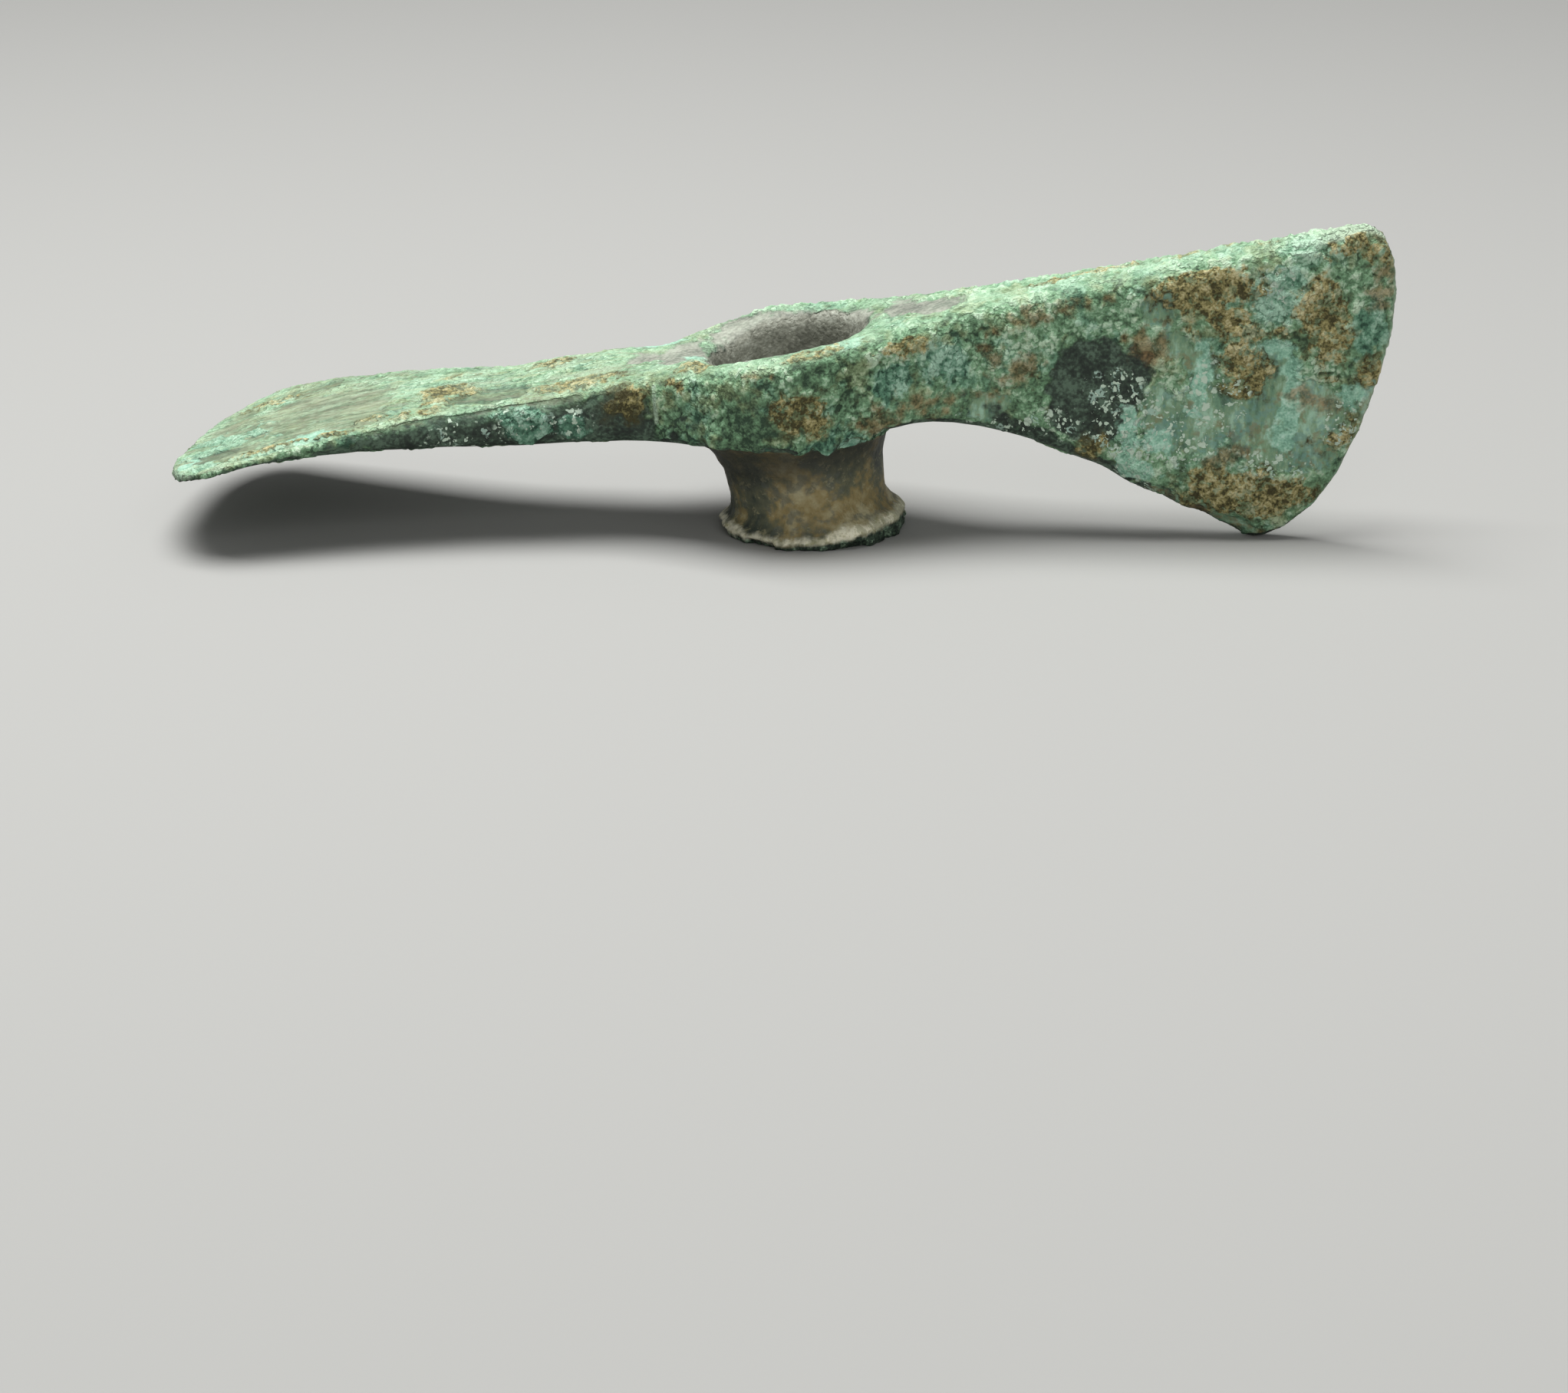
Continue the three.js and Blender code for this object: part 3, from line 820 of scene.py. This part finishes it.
def bare_metal(n, colour):
    """Bare metal: green on the near face, brown on the adze, grey round the hole and dark at the
    necks, where it pales towards the top. Gives the colour, and where any of them lies."""
    green_tone = n.ramp(
        n.mottled(260.0, 1300.0, 0.6, n.runs_down),
        [
            (0.3, rgb(78, 108, 88)),
            (0.44, rgb(112, 150, 122)),
            (0.54, rgb(130, 160, 126)),
            (0.7, rgb(164, 202, 176)),
        ],
    )
    bluish = n.rise(n.mottled(180.0, 1100.0, 0.7), 0.52, 0.68, 0.0, 0.6)
    tan = n.rise(n.mottled(230.0, 900.0, 0.8), 0.56, 0.72, 0.0, 0.6)
    green_tone = n.layer(green_tone, bluish, rgb(116, 158, 148))
    green_tone = n.layer(green_tone, tan, rgb(134, 126, 88))
    brown_tone = n.ramp(
        n.mottled(320.0, 1500.0, 0.7, n.runs_along),
        [(0.34, rgb(98, 104, 82)), (0.5, rgb(130, 134, 110)), (0.66, rgb(164, 176, 148))],
    )
    grey_tone = n.ramp(
        n.mottled(160.0, 1500.0, 0.7),
        [(0.34, rgb(112, 116, 106)), (0.52, rgb(148, 150, 138)), (0.7, rgb(172, 176, 162))],
    )
    dark_tone = n.ramp(
        n.mottled(240.0, 1600.0, 0.8),
        [(0.32, rgb(34, 44, 37)), (0.5, rgb(53, 68, 56)), (0.68, rgb(88, 110, 92))],
    )
    green = n.mask("green", 700.0, 0.6, 0.1)
    brown = n.mask("brown", 260.0, 1.6, 0.4)
    grey = n.mask("grey", 500.0, 0.5, 0.12)
    dark = n.mask("dark", 450.0, 0.4, 0.08)
    colour = n.layer(colour, green, green_tone)
    colour = n.layer(colour, n.times(brown, 0.6), brown_tone)
    colour = n.layer(colour, grey, grey_tone)
    colour = n.layer(colour, n.times(dark, n.cut_by(0.55, n.field("tilt"))), dark_tone)
    return colour, n.larger(n.larger(green, brown), n.larger(grey, dark))


def collar_and_hole(n, colour):
    """The collar, ochre with grey areas, painted shade on its top under the hub, its pale lip and its
    dark foot, and the haft hole's wall. Gives the colour, and where the collar or the wall lies."""
    collar_tone = n.ramp(
        n.mottled(95.0, 620.0, 0.36),
        [
            (0.36, rgb(64, 72, 62)),
            (0.48, rgb(100, 102, 80)),
            (0.58, rgb(146, 130, 86)),
            (0.74, rgb(180, 172, 136)),
        ],
    )
    greyed = n.rise(n.mottled(170.0, 700.0, 0.5), 0.54, 0.66, 0.0, 0.6)
    collar_tone = n.layer(collar_tone, greyed, rgb(96, 102, 92))
    collar_tone = n.layer(collar_tone, n.rise(n.grit, 0.58, 0.72, 0.0, 0.4), rgb(176, 168, 132))
    foot_tone = n.ramp(
        n.grit, [(0.35, rgb(34, 46, 38)), (0.55, rgb(74, 94, 76)), (0.75, rgb(150, 176, 150))]
    )
    lip_tone = n.ramp(n.grit, [(0.28, rgb(196, 192, 152)), (0.52, rgb(246, 242, 216))])
    dulled = n.rise(n.mottled(150.0, 900.0, 0.6), 0.5, 0.64, 0.0, 0.55)
    lip_tone = n.layer(lip_tone, dulled, rgb(150, 150, 112))
    bore_tone = n.ramp(
        n.mottled(180.0, 1500.0, 0.6),
        [(0.34, rgb(118, 120, 108)), (0.52, rgb(156, 158, 144)), (0.72, rgb(188, 192, 178))],
    )
    collar = n.mask("collar", 500.0)
    bore = n.mask("bore", 500.0)
    colour = n.layer(colour, collar, collar_tone)
    # Painted shade under the hub, on the collar's top
    colour = n.layer(colour, n.times(n.field("painted_eave_shade"), 0.8), rgb(42, 43, 36))
    colour = n.layer(colour, n.mask("foot", 700.0, 0.5), foot_tone)
    colour = n.layer(colour, n.mask("lip", 700.0, 0.6, 0.2), lip_tone)
    colour = n.layer(colour, bore, bore_tone)
    return colour, n.larger(collar, bore)


def teal_and_mint(n, colour, teal, teal_tone):
    """Teal knobs, mint stains, the axe blade's pale tip and the light line along both edges."""
    mint_tone = n.ramp(
        n.grit, [(0.3, rgb(118, 168, 144)), (0.52, rgb(160, 210, 184)), (0.72, rgb(200, 236, 216))]
    )
    colour = n.layer(colour, n.times(teal, 0.85), teal_tone)
    colour = n.layer(colour, n.times(n.mask("mint", 700.0, 0.7, 0.08), 0.85), mint_tone)
    colour = n.layer(colour, n.times(n.field("tip"), 0.6), rgb(196, 206, 184))
    return n.layer(colour, n.times(n.field("edge"), 0.5), rgb(176, 190, 168))


def rust_and_soil(n, colour, soil):
    """Rust, and soil that is lighter on its clods, lets some green through and ends in a halo."""
    rust_tone = n.ramp(
        n.grit, [(0.34, rgb(80, 70, 44)), (0.52, rgb(134, 110, 72)), (0.7, rgb(168, 140, 98))]
    )
    clods = n.plus(n.times(n.height, 0.6), n.times(n.crack, 0.3))
    soil_tone = n.ramp(
        n.plus(n.times(n.minus(n.grit, 0.5), 1.6), clods),
        [
            (0.2, rgb(74, 70, 42)),
            (0.42, rgb(126, 120, 76)),
            (0.62, rgb(168, 158, 108)),
            (0.9, rgb(202, 194, 150)),
        ],
    )
    bared = n.rise(n.mottled(420.0, 1400.0, 0.8), 0.54, 0.64, 0.0, 0.6)
    halo = n.mask("soil", 420.0, 1.0, 0.3)
    colour = n.layer(colour, n.times(halo, 0.45), rgb(118, 114, 74))
    colour = n.layer(colour, n.times(n.mask("rust", 500.0, 1.2, 0.2), 0.7), rust_tone)
    return n.layer(colour, n.times(soil, n.minus(1.0, bared)), soil_tone)


def dots(n, scale, bare_cells, largest):
    """Round dots of uneven size up to the largest, one to a cell, with that share of cells left bare."""
    cells = n.cells(n.uneven, scale)
    size = n.rise(cells.outputs["Color"], bare_cells, 1.0, 0.0, largest)
    return n.math("LESS_THAN", cells.outputs["Distance"], size)


def grains_and_lines(n, colour):
    """White grains and broken rings, and the lines: pale where they stand up, dark where they are cut
    in. Gives the colour, and where the grains lie."""
    speck = n.larger(dots(n, 800.0, 0.15, 0.5), dots(n, 1500.0, 0.3, 0.45))
    specks = n.times(speck, n.mask("specks", 300.0, 1.0, 0.1))
    cells = n.cells(n.uneven, 420.0)
    off_ring = n.math("ABSOLUTE", n.minus(cells.outputs["Distance"], 0.34))
    ring = n.times(n.rise(off_ring, 0.1, 0.05), n.rise(cells.outputs["Color"], 0.5, 0.6))
    ring = n.times(ring, n.rise(n.mottled(500.0, 1500.0, 0.6), 0.46, 0.54))
    ring = n.times(n.times(ring, n.mask("specks", 300.0)), 0.8)
    lines = n.field("lines")
    colour = n.layer(colour, ring, rgb(176, 206, 190))
    colour = n.layer(colour, specks, rgb(196, 216, 196))
    colour = n.layer(colour, n.rise(lines, 0.56, 0.75), rgb(168, 192, 166))
    colour = n.layer(colour, n.rise(lines, 0.42, 0.1, 0.0, 0.6), rgb(54, 58, 46))
    return colour, specks


def pale_dust_and_top_light(n, colour, bare, soil):
    """A pale bloom on what faces up, partly dust and partly painted light from above, thin on bare metal
    and on soil.
    """
    share = n.times(n.field("dust_and_top_light"), n.rise(n.mottled(200.0, 1400.0, 0.8), 0.3, 0.7, 0.08, 0.5))
    share = n.times(share, n.cut_by(0.8, bare))
    share = n.times(share, n.cut_by(0.5, soil))
    return n.layer(colour, share, rgb(192, 224, 192))


def patinated_bronze():
    """The head's one material: green crust, with every other finish laid over it by its own mask."""
    material = bpy.data.materials.new("patinated bronze")
    material.use_nodes = True
    material.node_tree.nodes.clear()
    n = Patina(material.node_tree)
    soil = n.mask("soil", 420.0, 1.2, 0.08)
    teal = n.mask("teal", 450.0, 0.9, 0.08)
    teal_tone = n.ramp(
        n.depth, [(0.05, rgb(52, 86, 70)), (0.4, rgb(100, 148, 122)), (0.85, rgb(172, 212, 188))]
    )

    colour = green_crust(n, teal_tone)
    colour = stains_along_adze(n, colour)
    colour, metal = bare_metal(n, colour)
    colour, collar_or_bore = collar_and_hole(n, colour)
    colour = teal_and_mint(n, colour, teal, teal_tone)
    colour = rust_and_soil(n, colour, soil)
    colour, specks = grains_and_lines(n, colour)
    bare = n.times(n.larger(metal, collar_or_bore), n.minus(1.0, n.larger(soil, teal)))
    # Dust, and painted light from above, on what faces up
    colour = pale_dust_and_top_light(n, colour, bare, soil)

    bumps = n.plus(n.times(n.grit, 1.3), n.times(n.crack, 0.8))
    bumps = n.plus(bumps, n.times(specks, 0.6))
    bumps = n.times(bumps, n.cut_by(0.72, bare))
    bump = n.add("ShaderNodeBump", {"Height": bumps, "Strength": 1.0, "Distance": 0.4 * MM})
    shader = n.add(
        "ShaderNodeBsdfPrincipled",
        {
            "Base Color": colour,
            "Roughness": n.minus(0.88, n.times(bare, 0.26)),
            "Normal": bump.outputs[0],
            "Specular IOR Level": 0.35,
        },
    )
    n.add("ShaderNodeOutputMaterial", {"Surface": shader.outputs[0]})
    return material


def pale_floor():
    material = bpy.data.materials.new("pale floor")
    material.use_nodes = True
    shader = material.node_tree.nodes["Principled BSDF"]
    shader.inputs["Base Color"].default_value = rgb(168, 168, 165)
    shader.inputs["Roughness"].default_value = 0.9
    return material


# The head

head = fine_casting(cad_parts[HEAD], "corroded_head", voxel=0.545, smoothing=2)
dress(head)
head.data.materials.append(patinated_bronze())
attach(head, "root")
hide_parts(HEAD)


# The floor, the light and the camera

FLOOR_HALF = 3.0


def floor():
    mesh = bpy.data.meshes.new("floor")
    corners = [(-1, -1), (1, -1), (1, 1), (-1, 1)]
    mesh.from_pydata([(x * FLOOR_HALF, y * FLOOR_HALF, 0.0) for x, y in corners], [], [(0, 1, 2, 3)])
    mesh.materials.append(pale_floor())
    plane = bpy.data.objects.new("floor", mesh)
    bpy.context.scene.collection.objects.link(plane)


def soft_light(name, place, size, watts, aim=(0, 0, 0.025)):
    """A square lamp of that size, turned to the head."""
    lamp = bpy.data.lights.new(name, "AREA")
    lamp.size = size
    lamp.energy = watts
    light = bpy.data.objects.new(name, lamp)
    towards = Vector(aim) - Vector(place)
    turn = towards.to_track_quat("-Z", "Y").to_matrix().to_4x4()
    light.matrix_world = Matrix.Translation(place) @ turn
    bpy.context.scene.collection.objects.link(light)


def sky(strength):
    """Even white light from all round."""
    world = bpy.data.worlds.new("studio")
    world.use_nodes = True
    background = world.node_tree.nodes["Background"]
    background.inputs["Color"].default_value = (1, 1, 1, 1)
    background.inputs["Strength"].default_value = strength
    bpy.context.scene.world = world


# The camera looks as the photograph's upper view does. It is aimed below the head, so that the head
# lies as high in the frame as there, and its lens and its shift stay as they are in other views.
PHOTO_WIDTH = 2044
PHOTO_HEIGHT = 1816
VIEW_AZIMUTH = 5.98
VIEW_ELEVATION = 14.67
VIEW_ROLL = 0.32
VIEW_DISTANCE = 0.8113
PIXELS_PER_METRE = 7638  # at the target's distance
TARGET = Vector((0, 0, 0.027))
TARGET_PIXEL = (1016.5, 486.0)


def photo_camera():
    """The direction to the target comes from azimuth and elevation; the aim is then turned by the
    angles that bring the target to its own pixel."""
    azimuth = math.radians(VIEW_AZIMUTH)
    elevation = math.radians(VIEW_ELEVATION)
    back = Vector(
        (
            math.sin(azimuth) * math.cos(elevation),
            -math.cos(azimuth) * math.cos(elevation),
            math.sin(elevation),
        )
    )
    focal = PIXELS_PER_METRE * VIEW_DISTANCE
    right = math.atan((TARGET_PIXEL[0] - PHOTO_WIDTH / 2) / focal)
    down = math.atan((TARGET_PIXEL[1] - PHOTO_HEIGHT / 2) / focal)
    lens = bpy.data.cameras.new("camera")
    lens.sensor_width = 36
    lens.lens = focal / PHOTO_WIDTH * lens.sensor_width
    lens.clip_start = 0.05
    camera = bpy.data.objects.new("camera", lens)
    looking = back.to_track_quat("Z", "Y").to_matrix().to_4x4()
    roll = Matrix.Rotation(math.radians(-VIEW_ROLL), 4, "Z")
    turn = Matrix.Rotation(right, 4, "Y") @ Matrix.Rotation(down, 4, "X")
    camera.matrix_world = Matrix.Translation(TARGET + back * VIEW_DISTANCE) @ looking @ roll @ turn
    bpy.context.scene.collection.objects.link(camera)
    bpy.context.scene.camera = camera


floor()
soft_light("overhead", place=(-0.15, 0.05, 1.0), size=0.7, watts=16.0)
soft_light("front", place=(0.3, -0.95, 0.6), size=0.8, watts=2.5)
sky(strength=0.2)
photo_camera()
bpy.context.scene.view_settings.view_transform = "Standard"
